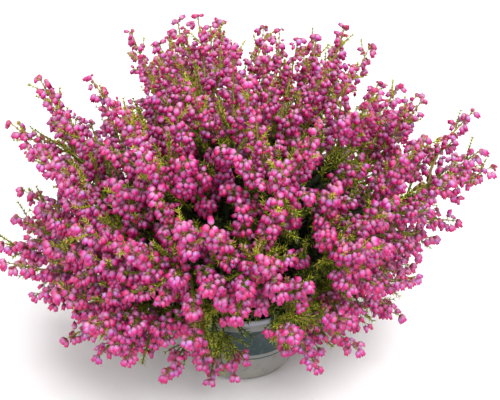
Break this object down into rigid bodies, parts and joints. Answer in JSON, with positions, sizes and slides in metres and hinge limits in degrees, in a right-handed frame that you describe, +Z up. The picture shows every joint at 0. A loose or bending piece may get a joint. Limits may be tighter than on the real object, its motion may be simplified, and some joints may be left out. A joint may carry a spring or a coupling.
{
  "type": "potted heather plant",
  "caption": "Bushy flowering heather in a squat round plastic pot: leafy woody stems that fork into shoots and end in spires of small nodding pink bells.",
  "frame": {"origin": "on the pot's axis, at the plane of its base, which is the plane it stands on", "axes": "+Z up along the pot's axis; -Y is the side the plant is seen from; +X is to its right"},
  "size_m": [0.4389, 0.3844, 0.3153],
  "materials": {
    "pot_plastic": "moulded grey plastic with a faint sheen and a dark printed band",
    "peat": "dark crumbly peat with roots",
    "needle_green": "brown-green twigs with short yellow-green needles",
    "bell_pink": "thin waxy pink petals, paler at the stalk and deeper at the mouth"
  },
  "bodies": {
    "root": {"pot": "pot_plastic", "soil": "peat", "branch_01": "needle_green", "branch_02": "needle_green", "branch_03": "needle_green", "branch_04": "needle_green", "branch_05": "needle_green", "branch_06": "needle_green", "branch_07": "needle_green", "branch_08": "needle_green", "branch_09": "needle_green", "branch_10": "needle_green", "branch_11": "needle_green", "branch_12": "needle_green", "branch_13": "needle_green", "branch_14": "needle_green", "blooms_01_upper": "bell_pink", "blooms_01_middle": "bell_pink", "blooms_01_lower": "bell_pink", "blooms_02_upper": "bell_pink", "blooms_02_middle": "bell_pink", "blooms_02_lower": "bell_pink", "blooms_03_upper": "bell_pink", "blooms_03_middle": "bell_pink", "blooms_03_lower": "bell_pink", "blooms_04_upper": "bell_pink", "blooms_04_middle": "bell_pink", "blooms_04_lower": "bell_pink", "blooms_05_upper": "bell_pink", "blooms_05_middle": "bell_pink", "blooms_05_lower": "bell_pink", "blooms_06_upper": "bell_pink", "blooms_06_middle": "bell_pink", "blooms_06_lower": "bell_pink", "blooms_07_upper": "bell_pink", "blooms_07_middle": "bell_pink", "blooms_07_lower": "bell_pink", "blooms_08_upper": "bell_pink", "blooms_08_middle": "bell_pink", "blooms_08_lower": "bell_pink", "blooms_09_upper": "bell_pink", "blooms_09_middle": "bell_pink", "blooms_09_lower": "bell_pink", "blooms_10_upper": "bell_pink", "blooms_10_middle": "bell_pink", "blooms_10_lower": "bell_pink", "blooms_11_upper": "bell_pink", "blooms_11_middle": "bell_pink", "blooms_11_lower": "bell_pink", "blooms_12_top": "bell_pink", "blooms_12_side_a": "bell_pink", "blooms_12_side_b": "bell_pink", "blooms_13_top": "bell_pink", "blooms_13_side_a": "bell_pink", "blooms_13_side_b": "bell_pink", "blooms_14_top": "bell_pink", "blooms_14_side_a": "bell_pink", "blooms_14_side_b": "bell_pink"}
  },
  "joints": []
}
